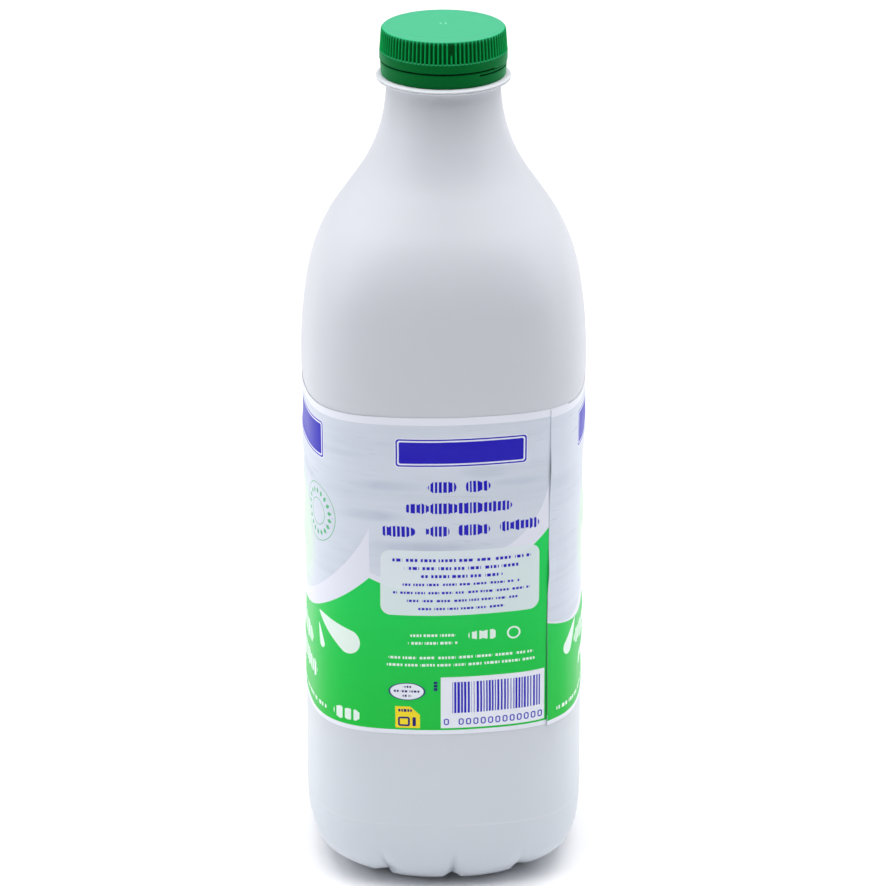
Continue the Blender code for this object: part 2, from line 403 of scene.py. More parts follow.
def shapeBottle(radius, angle, height):
    straight = angle
    angle -= creaseBend(angle, height)
    if height < bottle["heelHeight"] and radius < bottle["heelReach"] + 0.01:
        foot, dome = bottle["footSquareness"], bottle["domeReach"]
        foot += (bottle["squareness"] - foot) * smoothStep(height, *bottle["footBlend"])
        squareness = 2.0 + (foot - 2.0) * smoothStep(radius, 0.0, dome)
        depth = creaseDepth(straight, height) * smoothStep(radius, 0.4 * dome, dome)
        inward = smoothStep(height, 0.0, bottle["creaseTurn"])
        reach = radius * sectionFactor(squareness, angle) - 0.8 * depth * inward
        return reach, angle, height + depth * (1.0 - inward)
    rounding = smoothStep(height, bottle["roundingStart"], bottle["roundingEnd"])
    squareness = bottle["squareness"] + (2.0 - bottle["squareness"]) * rounding
    return radius * sectionFactor(squareness, angle), angle, height


def makeBottle():
    rows = footRows() + wallRows() + shoulderRows() + neckRows()
    piece = turnProfile("milkBottle", rows, bottle["wedges"], bottle["stepsPerWedge"])
    movePoints(piece, shapeBottle)
    smoothShade(piece, 40.0)
    return piece


cap = {
    "ribs": 90,
    "ribOffset": 1.65,
    "stepsPerRib": 10,
    "top": 280.0,
    "bottom": 264.95,
    "flatRadius": 17.6,
    "flatHollow": 0.12,       # the flat top lies this much below its rim
    "flatRows": (0.6, 0.9, 1.2, 1.5, 1.8, 2.1, 2.5, 3.0, 3.5, 8.0, 14.0, 16.2),
    "ribTopRadius": 19.42,
    "ribFootRadius": 19.9,
    "ribTop": 278.7,
    "grooveTop": 279.85,
    "gate": 2.0,              # the moulding gate's mark lies this far behind the middle
    "gateRadius": 0.95,
    "gateRise": 0.11,
    "ribFoot": 272.45,
    "ribDepth": 0.62,
    "grooveFloorTop": 18.93,
    "shortRib": 1,
    "shortRibTop": 275.5,
    "radius": 19.92,
    "slit": 269.55,
    "slitHeight": 0.58,
    "slitDepth": 1.2,
    "strapSlit": 268.3,
    "strapSlitDepth": 1.1,
    "strapFrom": 33.0,
    "strapTo": 148.0,
    "slitRunOn": 14.0,
    "bandTopRadius": 19.7,
    "bandRadius": 19.47,
    "boreRadius": 18.35,
    "wall": 1.45,
}


def capRows():
    top, ribTop, ribFoot = cap["top"], cap["ribTop"], cap["ribFoot"]
    flat, ribTopRadius, ribFootRadius = cap["flatRadius"], cap["ribTopRadius"], cap["ribFootRadius"]
    rows = [(radius, top - cap["flatHollow"]) for radius in (0.0, *cap["flatRows"])]
    rows += [(16.8, top - 0.1), (17.2, top - 0.01), (flat, top)]
    for share in shares(8):
        turn = math.radians(90.0 * share)
        height = top - (top - ribTop) * (1.0 - math.cos(turn))
        rows.append((flat + (ribTopRadius - flat) * math.sin(turn), height))
    for share in shares(16):
        radius = ribTopRadius + (ribFootRadius - ribTopRadius) * share
        rows.append((radius, ribTop + (ribFoot - ribTop) * share))
    radius, slit, half = cap["radius"], cap["slit"], 0.5 * cap["slitHeight"]
    rows += [(radius, height) for height in (ribFoot - 0.1, ribFoot - 0.35, 271.2, 270.4, 270.0)]
    rows += [(radius, slit + half + 0.08), (radius - 0.06, slit + half)]
    rows += [(radius - cap["slitDepth"], slit + offset) for offset in (half - 0.02, 0.02 - half)]
    rows += [(cap["bandTopRadius"] - 0.12, slit - half), (cap["bandTopRadius"], slit - half - 0.12)]
    half = 0.8 * half
    for offset in (half + 0.25, half + 0.05, half, 0.01, -half, -half - 0.05, -half - 0.25):
        rows.append((bandRadius(cap["strapSlit"] + offset), cap["strapSlit"] + offset))
    rows += [(bandRadius(height), height) for height in (267.2, 266.4, 265.6, 265.3)]
    bottom, bore, inside = cap["bottom"], cap["boreRadius"], top - cap["wall"]
    rows += arcRows(cap["bandRadius"] - 0.3, bottom + 0.3, 0.3, 0.0, -90.0, 4)
    return rows + [(bore + 0.2, bottom), (bore, bottom + 0.2), (bore, inside), (0.0, inside)]


def bandRadius(height):
    share = (height - cap["bottom"]) / (cap["slit"] - cap["bottom"])
    return cap["bandRadius"] + (cap["bandTopRadius"] - cap["bandRadius"]) * share


def strapShare(angle, runOn=0.0, taper=1.2):
    # 1 where the strap that keeps the cap on the neck is cut free and 0 elsewhere, tapered between.
    turned, start, end = math.degrees(angle), cap["strapFrom"] + runOn, cap["strapTo"] - runOn
    return smoothStep(turned, start, start + taper) * (1.0 - smoothStep(turned, end - taper, end))


def grooveFloor(height):
    # The radius of the floor between the ribs, which widens towards the foot as the ribs do.
    fall = (cap["ribTop"] - min(height, cap["ribTop"])) / (cap["ribTop"] - cap["ribFoot"])
    foot = cap["ribFootRadius"] - cap["ribDepth"]
    return cap["grooveFloorTop"] + (foot - cap["grooveFloorTop"]) * fall


def ribGroove(angle, height):
    # 0 on a rib's crest and 1 on the floor of the groove beside it.
    pitch = 360.0 / cap["ribs"]
    turned = (math.degrees(angle) - cap["ribOffset"]) % 360.0
    index = round(turned / pitch) % cap["ribs"]
    offset = abs((turned + 0.5 * pitch) % pitch - 0.5 * pitch) / pitch
    groove = smoothStep(offset, 0.06, 0.28)
    if index == cap["shortRib"]:
        groove = max(groove, smoothStep(height, cap["shortRibTop"] - 0.2, cap["shortRibTop"] + 0.2))
    groove *= 1.0 - smoothStep(height, cap["ribTop"] + 0.45, cap["grooveTop"])
    return groove * smoothStep(height, cap["ribFoot"] - 0.02, cap["ribFoot"] + 0.2)


def shapeCap(radius, angle, height):
    outside = radius > cap["boreRadius"] + 0.3
    if outside and height > cap["ribFoot"] - 0.01:
        depth = max(radius - grooveFloor(height), 0.0)
        return radius - depth * ribGroove(angle, height), angle, height
    half = 0.5 * cap["slitHeight"]
    if outside and abs(height - cap["slit"]) < half - 0.01:
        closed = strapShare(angle, cap["slitRunOn"], 8.0)  # the slit is shut along the strap
        shut = cap["slit"] + (height - cap["slit"]) * (1.0 - 0.7 * closed)
        return radius + 0.95 * closed * cap["slitDepth"], angle, shut
    if outside and abs(height - cap["strapSlit"]) < 0.8 * half + 0.01:
        return radius - cap["strapSlitDepth"] * strapShare(angle), angle, height
    if radius < 4.0 and height > cap["top"] - 1.0:  # the moulding gate: a low ring with two nibs
        across, back = radius * math.sin(angle), -radius * math.cos(angle) - cap["gate"]
        ring = bell(math.hypot(across, back) - cap["gateRadius"], 0.25)
        nibs = 0.3 + 0.7 * bell(abs(across) - 0.8, 0.4)
        return radius, angle, height + cap["gateRise"] * ring * nibs
    return radius, angle, height


def makeCap():
    piece = turnProfile("screwCap", capRows(), cap["ribs"], cap["stepsPerRib"])
    movePoints(piece, shapeCap)
    smoothShade(piece, 60.0)
    return piece


label = {
    "columns": 400,
    "rows": 110,
    "height": 108.9,
    "bottom": 58.5,
    "tilt": 0.45,
    "seam": 39.3,
    "overlap": 8.0,
    "thickness": 0.07,
    "skew": 0.5,              # the wrap starts this much lower than it ends
    "edgeWander": 0.45,
    "edgeGaps": ((147.0, 8.0, 0.34), (112.0, 6.0, 0.5)),  # height, spread and width
    "lowGap": (62.0, 103.0, 0.34),                        # full below, none above, and width
    "wrinkle": 0.8,
    "wrinkleLimits": (-0.17, 0.32),
    "waist": 112.7,           # its length round the bottle is taken at this height
    "stepsPerDegree": 4,
}


def arcTable(reach):
    # Distance along the label's face from the front line, a few times for every degree.
    steps = 360 * label["stepsPerDegree"]
    table = [0.0]
    previous = ringPoint(reach * sectionFactor(bottle["squareness"], 0.0), 0.0, 0.0)
    for step in range(1, steps + 1):
        angle = 2.0 * math.pi * step / steps
        point = ringPoint(reach * sectionFactor(bottle["squareness"], angle), angle, 0.0)
        table.append(table[-1] + (point - previous).length / mm)
        previous = point
    return table


arcs = arcTable(0.5 * (labelReach(label["bottom"]) + labelReach(label["waist"])))
label["round"] = arcs[-1]
label["seamPlace"] = arcs[round(label["seam"] * label["stepsPerDegree"])]
label["length"] = label["round"] + label["overlap"]


def angleAt(distance):
    # The angle in radians at this distance along the face, past a whole turn too.
    turns, rest = divmod(distance, label["round"])
    low, high = 0, len(arcs) - 1
    while high - low > 1:
        middle = (low + high) // 2
        low, high = (middle, high) if arcs[middle] <= rest else (low, middle)
    share = (rest - arcs[low]) / (arcs[high] - arcs[low])
    return 2.0 * math.pi * (turns + (low + share) / (len(arcs) - 1))


def labelLift(along, height):
    # The first stretch of the label lies on its own end, and its cut edge stands off unevenly.
    over = label["thickness"] + 0.02
    settle = 1.0 - smoothStep(along, label["overlap"], label["overlap"] + 5.0)
    gap = 0.04
    for middle, spread, width in label["edgeGaps"]:
        gap += width * bell(height - middle, spread)
    low, high, width = label["lowGap"]
    gap += width * (1.0 - smoothStep(height, low, high))
    return over * settle + gap * bell(along, 2.2)


def wrinkle(angle, along, height):
    # Soft folds run along the flat middle of each side and die out at the corners and the edges.
    flat = smoothStep(math.cos(4.0 * angle), -0.7, 0.6)
    bottom, top = label["bottom"], label["bottom"] + label["height"]
    edge = smoothStep(min(height - bottom, top - height), 1.0, 9.0)
    wide = noise.noise(Vector((along * 0.022, height * 0.085, 1.3)))
    narrow = noise.noise(Vector((along * 0.04 + height * 0.03, height * 0.19, 8.1)))
    slant = noise.noise(Vector((along * 0.028 - height * 0.018, height * 0.06, 5.7)))
    crease = 1.0 - min(abs(slant) * 9.0, 1.0)
    depth = label["wrinkle"] * flat * edge * (wide + 0.4 * narrow - 0.3 * crease * crease)
    deepest, highest = label["wrinkleLimits"]
    return min(max(depth, deepest), highest)


def wrapPoint(along, up):
    height = label["bottom"] + up
    wander = label["edgeWander"] * (smoothStep(height, 92.0, 124.0) - 0.5)
    angle = angleAt(label["seamPlace"] + along + wander * (1.0 - smoothStep(along, 0.0, 25.0)))
    lean = label["tilt"] * math.sin(angle) - label["skew"] * (1.0 - along / label["round"])
    radius = labelReach(height + lean) * sectionFactor(bottle["squareness"], angle)
    lift = labelLift(along, height) + wrinkle(angle, along, height)
    limit = bottle["halfWidth"] / max(abs(math.sin(angle)), abs(math.cos(angle)))
    return ringPoint(min(radius - 0.02 + lift, limit), angle, height + lean)


def makeLabel():
    # A flat sheet is cut to size, rolled round the bottle and given its thickness.
    bpy.ops.object.select_all(action="DESELECT")
    columns, rows = label["columns"], label["rows"]
    bpy.ops.mesh.primitive_grid_add(x_subdivisions=columns, y_subdivisions=rows, size=1.0)
    piece = bpy.context.object
    piece.name = "wrapLabel"
    piece.data.name = "wrapLabel"
    bpy.ops.object.mode_set(mode="EDIT")
    bpy.ops.mesh.select_all(action="SELECT")
    bpy.ops.transform.translate(value=(0.5, 0.5, 0.0))
    size = (label["length"] * mm, label["height"] * mm, 1.0)
    bpy.ops.transform.resize(value=size, center_override=(0.0, 0.0, 0.0))
    bpy.ops.object.mode_set(mode="OBJECT")
    for point in piece.data.vertices:
        point.co = wrapPoint(point.co.x / mm, point.co.y / mm)
    thicken = piece.modifiers.new("thickness", "SOLIDIFY")
    thicken.thickness = label["thickness"] * mm
    thicken.offset = -1.0
    bpy.ops.object.modifier_apply(modifier=thicken.name)
    smoothShade(piece, 50.0)
    return piece


bottlePaint = {
    "wall": ((199, 202, 210), (203, 205, 213)),
    # painted light: the foot is painted paler, for the light the floor throws up on it
    "foot": (205, 211, 219),
    "footLightTop": 100.0,         # the foot's paler paint, a painted light, fades in below this height
    "footLightFade": 60.0,
    # painted shade: the neck under the support ring is painted darker
    "neck": (195, 198, 205),
    "neckShadeFrom": 248.0,
    "neckShadeFade": 8.0,
    # painted light: the support ring is painted paler, for the light it catches
    "ring": (213, 216, 222),
    "ringLightFrom": 263.05,
    # painted highlight along the mould line
    "mouldLine": (213, 217, 224),
    # painted shade inside the folds of the foot
    "fold": (140, 147, 160),
    "foldShadeTop": 15.0,
    "foldShadeFrom": 24.5,         # the folds start this far out
    "mark": (120, 125, 130),
}


def bottlePlastic():
    finish = Finish("white bottle plastic", bottlePaint, **{"Specular IOR Level": 0.5})
    place = finish.scaled(finish.places(), 1000.0)
    cloud = finish.grain(place, 0.03, 3.0)
    fine = finish.grain(place, 1.9, 2.0)
    marks = finish.specks(place, 0.06, 0.012, 0.86)
    x, y, height = finish.parts(place)
    # The foot is painted paler towards the floor, a painted light.
    foot = ((bottlePaint["footLightTop"] - height) * (1.0 / bottlePaint["footLightFade"])).clamped()
    colour = finish.paint(foot, finish.between(cloud, "wall"), "foot")
    # The neck under the support ring is painted darker, a painted shade.
    neck = ((height - bottlePaint["neckShadeFrom"]) * (1.0 / bottlePaint["neckShadeFade"])).clamped()
    colour = finish.paint(neck, colour, "neck")
    # The support ring is painted paler, a painted light.
    colour = finish.paint(height.above(bottlePaint["ringLightFrom"]), colour, "ring")
    # The mould line is painted pale here and there, a painted highlight along its edge, and the
    # folds in the foot are painted dark inside, a painted shade.
    line = ((0.45 - abs(height - bottle["mouldLine"])) * 4.0).clamped()
    line = line * ((cloud - 0.4) * 4.0).clamped()
    colour = finish.paint(line * 0.8, colour, "mouldLine")
    angle = x.maths("ARCTAN2", -1.0 * y)
    lean = (angle * 4.0).maths("SINE") - (angle * 8.0).maths("SINE") * 0.6
    angle = angle + lean * math.radians(bottle["creaseLean"]) * (height * (1.0 / 7.0)).clamped()
    offset = bottle["creaseOffset"] * bottle["creases"] / 360.0
    turned = angle * (0.5 * bottle["creases"] / math.pi) - offset
    away = abs((turned + 0.5).maths("FRACT") - 0.5)
    # Painted shade: the folds are darkened inside, less so up the heel.
    fold = (1.0 - away * 18.0).clamped() * ((bottlePaint["foldShadeTop"] - height) * 0.1).clamped()
    fold = fold * (x * x + y * y).above(bottlePaint["foldShadeFrom"] ** 2)
    colour = finish.paint(fold * 0.6, colour, "fold")
    finish.surface("Base Color", finish.paint(marks * 0.5, colour, "mark"))
    finish.surface("Roughness", 0.33 + 0.08 * cloud + 0.05 * fine)
    finish.bump(fine + 3.0 * cloud, 0.012)
    return finish


capPaint = {
    "band": ((0, 91, 35), (0, 96, 38)),
    # painted shade on the grooves' floor and painted highlight on the ribs' crests
    "ribs": ((0, 62, 18), (2, 158, 74)),  # the grooves' floor and the ribs' crests
    # painted light on the ledge at the ribs' foot
    "ledgeLight": (46, 150, 100),
    # painted highlight on the rounded rim
    "rim": (54, 186, 128),
    # painted reflection of the light above, on the flat top
    "flat": ((75, 160, 124), (80, 163, 127)),
    "gate": (125, 200, 170),
    "gateReach": 4.0,
    # painted shade inside the slits
    "slit": (0, 30, 10),
}


def capPlastic():
    constants = {"Specular IOR Level": 0.04, "Sheen Weight": 0.3, "Sheen Roughness": 0.5,
                 "Sheen Tint": tone(0, 230, 150)}
    finish = Finish("green cap plastic", capPaint, **constants)
    place = finish.scaled(finish.places(), 1000.0)
    x, y, z = finish.parts(place)
    cloud = finish.grain(place, 0.12, 3.0)
    fine = finish.grain(place, 2.4, 2.0)
    reach = (x * x + y * y) ** 0.5
    # The ribs are told from their grooves by how far they stand out from the grooves' floor. The
    # crests are painted light, a painted highlight, and the groove floors dark, a painted shade.
    top, ribTop, ribFoot = cap["top"], cap["ribTop"], cap["ribFoot"]
    foot = cap["ribFootRadius"] - cap["ribDepth"] - cap["grooveFloorTop"]
    floor = cap["grooveFloorTop"] + foot * (ribTop - z) * (1.0 / (ribTop - ribFoot))
    overRibs = ((z - ribTop - 0.5) * 2.2).clamped()
    crest = ((reach - floor) * 1.8).clamped().maths("MAXIMUM", overRibs)
    ribbed = ((z - ribFoot - 0.1) * 3.0).clamped()
    colour = finish.blend(ribbed, finish.between(cloud, "band"), finish.between(crest, "ribs"))
    # The ledge at the ribs' foot is painted pale, a painted light where it faces up.
    ledgeLight = z.between(ribFoot + 0.02, ribFoot + 0.36) * reach.between(19.3, 19.85)
    colour = finish.paint(ledgeLight, colour, "ledgeLight")
    # The rounded rim is painted pale green, a painted highlight for the top light it catches, so
    # the top's pale green runs out along the ribs.
    rim = ((z - top + 1.8) * 0.66).clamped() ** 1.6 * (0.25 + 0.75 * crest)
    colour = finish.paint(rim, colour, "rim")
    # The flat top is painted pale mint, a painted reflection of the light above.
    flat = ((z - top + 0.55) * 2.2).clamped()
    colour = finish.blend(flat, colour, finish.between(cloud, "flat"))
    gate = z.above(top - 0.07) * reach.below(capPaint["gateReach"])
    colour = finish.paint(gate, colour, "gate")
    # The slits are painted dark inside, a painted shade.
    slitShade = z.between(cap["strapSlit"] - 0.4, cap["slit"] + 0.29) * reach.below(19.35)
    finish.surface("Base Color", finish.paint(slitShade, colour, "slit"))
    finish.surface("Roughness", 0.36 + 0.08 * fine)
    finish.bump(fine, 0.01)
    return finish


printed = {
    "paper": (231, 234, 244),
    "planks": ((210, 217, 229), (197, 205, 218)),
    "plankLine": (166, 174, 191),
    "swoosh": (225, 227, 239),
    "note": (220, 230, 235),
    # painted shade of the folds; the cut edge is drawn in it too
    "fold": (182, 191, 209),
    # painted shadow beside the lifted cut edge
    "gap": (18, 62, 44),
    "green": ((0, 190, 56), (8, 207, 88)),
    "ink": (22, 4, 182),
    "inkDark": (10, 6, 104),
    "onGreen": (226, 242, 234),
    "petals": (84, 180, 126),
    "glow": (206, 232, 208),
    "yellow": (244, 218, 30),
    "softness": 0.16,
    "foot": 58.05,            # heights of marks are counted from here
    "frontWave": (0.0086, 0.0264, 0.503, 1.629, 34.1),
    "infoWave": (1.2, 1.56, 50.81),
    "topBand": 2.5,
    "bottomBand": 1.95,
    "infoMiddle": 4.4,        # places along the label are counted from the front line
    "frontMiddle": -67.0,
    "infoEdge": -24.9,
    # painted shade of soft folds across the boards: middle, half length, half height and strength
    "folds": ((-19.5, 86.3, 13.0, 2.2, 0.9), (-24.0, 76.0, 12.0, 2.4, 0.9),
              (23.0, 86.8, 10.0, 1.7, 0.8), (-8.0, 65.6, 26.0, 2.6, 0.8),
              (12.0, 91.0, 9.0, 3.0, 0.5), (-36.0, 96.0, 13.0, 1.3, 0.5),
              (-60.0, 83.0, 16.0, 2.2, 0.7), (-84.0, 72.0, 13.0, 2.0, 0.7),
              (-70.0, 104.0, 18.0, 1.8, 0.6)),
    # bars: left end, right end and height, and on the front their thickness too
    "infoBars": ((-11.4, -1.0, 86.1), (1.1, 9.5, 86.1), (-17.6, 16.8, 79.0),
                 (-25.4, -14.3, 71.0), (-12.0, -3.7, 71.2), (-1.6, 9.4, 71.5), (11.8, 25.2, 71.9)),
    "frontBars": ((-26.0, 15.0, 25.5, 6.0), (-20.0, 19.0, 15.5, 6.0), (28.0, 39.5, 5.6, 4.4)),
    # splashes: round end, pointed end and radius
    "splashes": (((34.6, 31.2), (20.8, 38.0), 4.2), ((22.6, 27.0), (20.4, 33.6), 1.5),
                 ((-31.0, 25.0), (-25.0, 33.0), 2.6)),
    "rosette": (20.5, 72.2),
    "petalCount": 18,
}


class Print(Finish):
    # Marks on the flat label in millimetres. Each gives 1 inside, 0 outside and a fine soft edge.
    def within(self, distance):
        return (0.5 - distance * (1.0 / printed["softness"])).clamped()

    def plate(self, spot, middle, half, corner):
        # a rectangle with rounded corners
        nothing = (0.0, 0.0, 0.0)
        inner = (half[0] - corner, half[1] - corner, 0.0)
        away = self.vector("SUBTRACT", spot, (*middle, 0.0))
        away = self.vector("ABSOLUTE", away, nothing)
        outside = self.vector("MAXIMUM", self.vector("SUBTRACT", away, inner), nothing)
        return self.length(outside) - corner

    def oval(self, spot, middle, radii):
        away = self.vector("DIVIDE", self.vector("SUBTRACT", spot, (*middle, 0.0)), (*radii, 1.0))
        return (self.length(away) - 1.0) * min(radii)

    def drop(self, spot, start, end, radius):
        # a splash: round at its start and drawn out to a point at its end
        run = (end[0] - start[0], end[1] - start[1], 0.0)
        away = self.vector("SUBTRACT", spot, (*start, 0.0))
        reached = self.vector("DOT_PRODUCT", away, run, "Value")
        share = (reached * (1.0 / (run[0] ** 2 + run[1] ** 2))).clamped()
        aside = self.length(self.vector("SUBTRACT", away, self.scaled(run, share)))
        return aside - (1.0 - share) ** 0.7 * radius

    def bar(self, spot, left, right, height, thickness, ragged=0.0):
        half = (0.5 * (right - left), 0.5 * thickness)
        edge = self.plate(spot, (0.5 * (left + right), height), half, half[1])
        return self.within(edge + ragged)

    def strokes(self, along, size, gap, depth):
        # an uneven edge and upright gaps, which turn a bar into a row of strokes
        ragged = self.grain(self.joined(along * (0.8 / size), 0.0, size), 1.0, 2.0)
        ragged = (ragged - 0.42).maths("MAXIMUM", 0.0)
        return ragged * depth, self.gaps(along, size, size, gap)

    def gaps(self, along, row, size, gap):
        # 0 in the gaps between marks of uneven length, 1 elsewhere
        sockets = {"W": along * (1.0 / size) + row, "Scale": 1.0, "Randomness": 0.7}
        settings = {"voronoi_dimensions": "1D", "feature": "DISTANCE_TO_EDGE"}
        edge = self.add("ShaderNodeTexVoronoi", settings, sockets, "Distance")
        return self.within(0.5 * gap - edge * size)

    def lines(self, spot, along, up, middle, top, pitch, halves, thickness, size, gap):
        # a block of fine rows: one bar a row, cut into groups and then into short marks
        marks = 0.0
        row = ((up - top) * (1.0 / pitch)).maths("ROUND") * 3.7
        for index, half in enumerate(halves):
            height = top - pitch * index
            marks = self.bar(spot, middle - half, middle + half, height, thickness) + marks
        short = self.gaps(along, row + 0.4, 1.35 * thickness, 0.42 * thickness)
        return marks * self.gaps(along, row, size, gap) * short


def wave(along, factors):
    # a smooth line across a side, the height of a colour field's edge, from its curve's factors
    height = factors[0]
    for factor in factors[1:]:
        height = height * (along * 0.1) + factor
    return height


def bowl(along, middle, low, radius):
    # the right half of a round bowl, level to the left of its middle
    away = (along - middle).maths("MAXIMUM", 0.0).maths("MINIMUM", 0.999 * radius)
    return low + radius - (radius * radius - away * away) ** 0.5


def plankField(finish, spot, along, up):
    # white-washed boards: streaks and blotches, short dark dashes and broken cracks along the grain
    def grainAt(across, rise, seed, detail, roughness=0.5):
        return finish.grain(finish.joined(along * across, up * rise, seed), 1.0, detail, roughness)

    streak, band = grainAt(0.02, 0.42, 0.0, 5.0, 0.6), grainAt(0.018, 0.09, 4.0, 2.0)
    shade = ((streak - 0.5) * 1.6 + (0.56 - band) * 2.2).clamped()
    colour = finish.between(shade * 0.8, "planks")
    dashes = ((grainAt(0.11, 1.5, 6.0, 2.0) - 0.63) * 9.0).clamped()
    dashes = dashes * ((grainAt(0.03, 0.05, 7.0, 1.0) - 0.42) * 6.0).clamped()
    wander = grainAt(0.03, 0.0, 9.0, 1.0)
    seam = abs((up * (1.0 / 19.0) + wander * 0.25).maths("FRACT") - 0.5) * 19.0
    broken = ((grainAt(0.07, 0.05, 2.0, 2.0) - 0.5) * 5.0).clamped()
    lines = (finish.within(seam - 0.12) * broken + dashes).clamped()
    colour = finish.paint(lines * 0.55, colour, "plankLine")
    # Soft folds across the boards are painted darker, a painted shade.
    for middle, height, halfLength, halfHeight, strength in printed["folds"]:
        inside = finish.oval(spot, (middle, height), (halfLength, halfHeight)) * (-1.0 / halfHeight)
        shade = (inside * 1.6).clamped() * (0.55 + 0.45 * broken) * strength
        colour = finish.paint(shade, colour, "fold")
    return colour


def plaque(finish, colour, spot, middle, half):
    # a bare plate: a pale rim, an ink line, a pale line and ink
    for inset, shade in ((0.0, "paper"), (0.3, "ink"), (0.8, "paper"), (1.3, "ink")):
        size = (half[0] - inset, half[1] - inset)
        mark = finish.within(finish.plate(spot, middle, size, 1.2 - 0.5 * inset))
        colour = finish.paint(mark, colour, shade)
    return colour


def infoPrint(finish, colour, spot, along, up):
    note = finish.plate(spot, (-0.15, 53.4), (25.55, 11.15), 3.3)
    colour = finish.paint(finish.within(note) * 0.95, colour, "note")
    colour = plaque(finish, colour, spot, (0.0, 97.6), (20.9, 4.9))
    ragged, strokes = finish.strokes(along, 1.5, 0.45, 3.0)
    for left, right, height in printed["infoBars"]:
        bar = finish.bar(spot, left, right, height, 3.7, ragged)
        colour = finish.paint(bar * strokes, colour, "ink")
    bold = finish.lines(spot, along, up, 0.2, 61.1, 2.75, (22.3, 18.5, 13.0), 1.05, 5.4, 0.9)
    thin = finish.lines(spot, along, up, 0.2, 52.85, 2.75, (18.8, 22.0, 18.0, 14.0), 0.8, 4.6, 0.8)
    colour = finish.paint(bold + thin, colour, "ink")
    upper = finish.lines(spot, along, up, -9.0, 35.2, 2.6, (7.2, 7.9), 0.85, 5.0, 0.7)
    lower = finish.lines(spot, along, up, 0.2, 27.5, 2.55, (23.3, 23.9), 0.85, 5.6, 0.8)
    ragged, strokes = finish.strokes(along, 2.6, 0.8, 3.0)
    heavy = finish.bar(spot, 1.6, 12.0, 34.9, 4.0, ragged) * strokes
    ring = finish.within(abs(finish.oval(spot, (17.0, 34.8), (1.9, 1.9))) - 0.28)
    return finish.paint(upper + lower + heavy + ring, colour, "onGreen")


def stampPrint(finish, colour, spot, along, up):
    # the small boxes along the foot of the information side
    oval = finish.oval(spot, (-17.3, 15.6), (5.9, 3.05))
    colour = finish.paint(finish.within(oval), colour, "inkDark")
    colour = finish.paint(finish.within(oval + 0.28), colour, "paper")
    marks = finish.lines(spot, along, up, -17.3, 17.2, 1.55, (1.4, 4.4, 1.4), 0.7, 3.0, 0.4)
    corner = (along + up) * math.sqrt(0.5) + 4.1
    yellow = finish.plate(spot, (-17.1, 6.5), (3.95, 3.85), 0.25).maths("MAXIMUM", corner)
    colour = finish.paint(finish.within(yellow), colour, "yellow")
    frameMark = finish.within(abs(finish.plate(spot, (-18.3, 4.9), (1.6, 1.35), 0.4)) - 0.32)
    tick = finish.within(finish.plate(spot, (-15.0, 4.9), (0.55, 1.6), 0.3))
    heading = finish.bar(spot, -20.2, -15.6, 8.9, 1.1) * finish.gaps(along, 0.0, 0.95, 0.25)
    marks = marks + frameMark + tick + heading
    colour = finish.paint(marks, colour, "inkDark")
    box = finish.within(finish.plate(spot, (10.55, 11.6), (17.05, 8.95), 0.15))
    colour = finish.paint(box, colour, "paper")
    group = (along * (1.0 / 1.7)).maths("FLOOR") + 41.0
    chance = finish.add("ShaderNodeTexWhiteNoise", {"noise_dimensions": "1D"}, {"W": group})
    stripes = finish.within(finish.plate(spot, (11.6, 13.4), (14.4, 5.4), 0.12))
    stripes = stripes * finish.gaps(along, 0.0, 0.98, 0.24 + 0.5 * chance)
    pitch = 2.36              # of the rounded loops below the stripes
    place = (along + 5.9) * (1.0 / pitch)
    cell = finish.joined((place.maths("FRACT") - 0.5) * pitch, up)
    loops = finish.within(abs(finish.plate(cell, (0.0, 4.9), (0.62, 0.98), 0.5)) - 0.2)
    loops = loops * place.between(0.0, 14.0) * (1.0 - place.between(1.0, 2.0))
    upright = finish.within(finish.plate(spot, (-8.15, 17.4), (0.6, 1.75), 0.2))
    colour = finish.paint(upright * finish.gaps(up, 0.2, 1.15, 0.22), colour, "inkDark")
    return finish.paint(stripes + loops, colour, "ink")


def frontPrint(finish, colour, spot, along, up):
    glow = finish.oval(spot, (-3.0, 59.5), (17.6, 17.6))
    colour = finish.paint((0.62 - glow * 0.11).clamped() * 0.8, colour, "glow")
    colour = plaque(finish, colour, spot, (0.0, 97.85), (25.1, 6.4))
    reach = finish.oval(spot, printed["rosette"], (1.0, 1.0))
    rings = finish.within(abs(reach - 8.6) - 0.13) + finish.within(abs(reach - 3.4) - 0.13)
    away = finish.vector("SUBTRACT", spot, (*printed["rosette"], 0.0))
    across, upward, _ = finish.parts(away)
    turn = upward.maths("ARCTAN2", across) * (printed["petalCount"] / (2.0 * math.pi))
    petals = abs(turn.maths("FRACT") - 0.5)
    rings = rings + finish.within(abs(reach - 6.0) - 1.1 + petals * 3.4)
    colour = finish.paint(rings.clamped(), colour, "petals")
    marks = 0.0
    for start, end, radius in printed["splashes"]:
        marks = finish.within(finish.drop(spot, start, end, radius)) + marks
    ragged, strokes = finish.strokes(along, 3.0, 0.9, 5.0)
    for left, right, height, thickness in printed["frontBars"]:
        marks = finish.bar(spot, left, right, height, thickness, ragged) * strokes + marks
    low = finish.lines(spot, along, up, -6.0, 5.2, 2.8, (31.0,), 1.3, 5.0, 1.0)
    return finish.paint((marks + low).clamped(), colour, "onGreen")


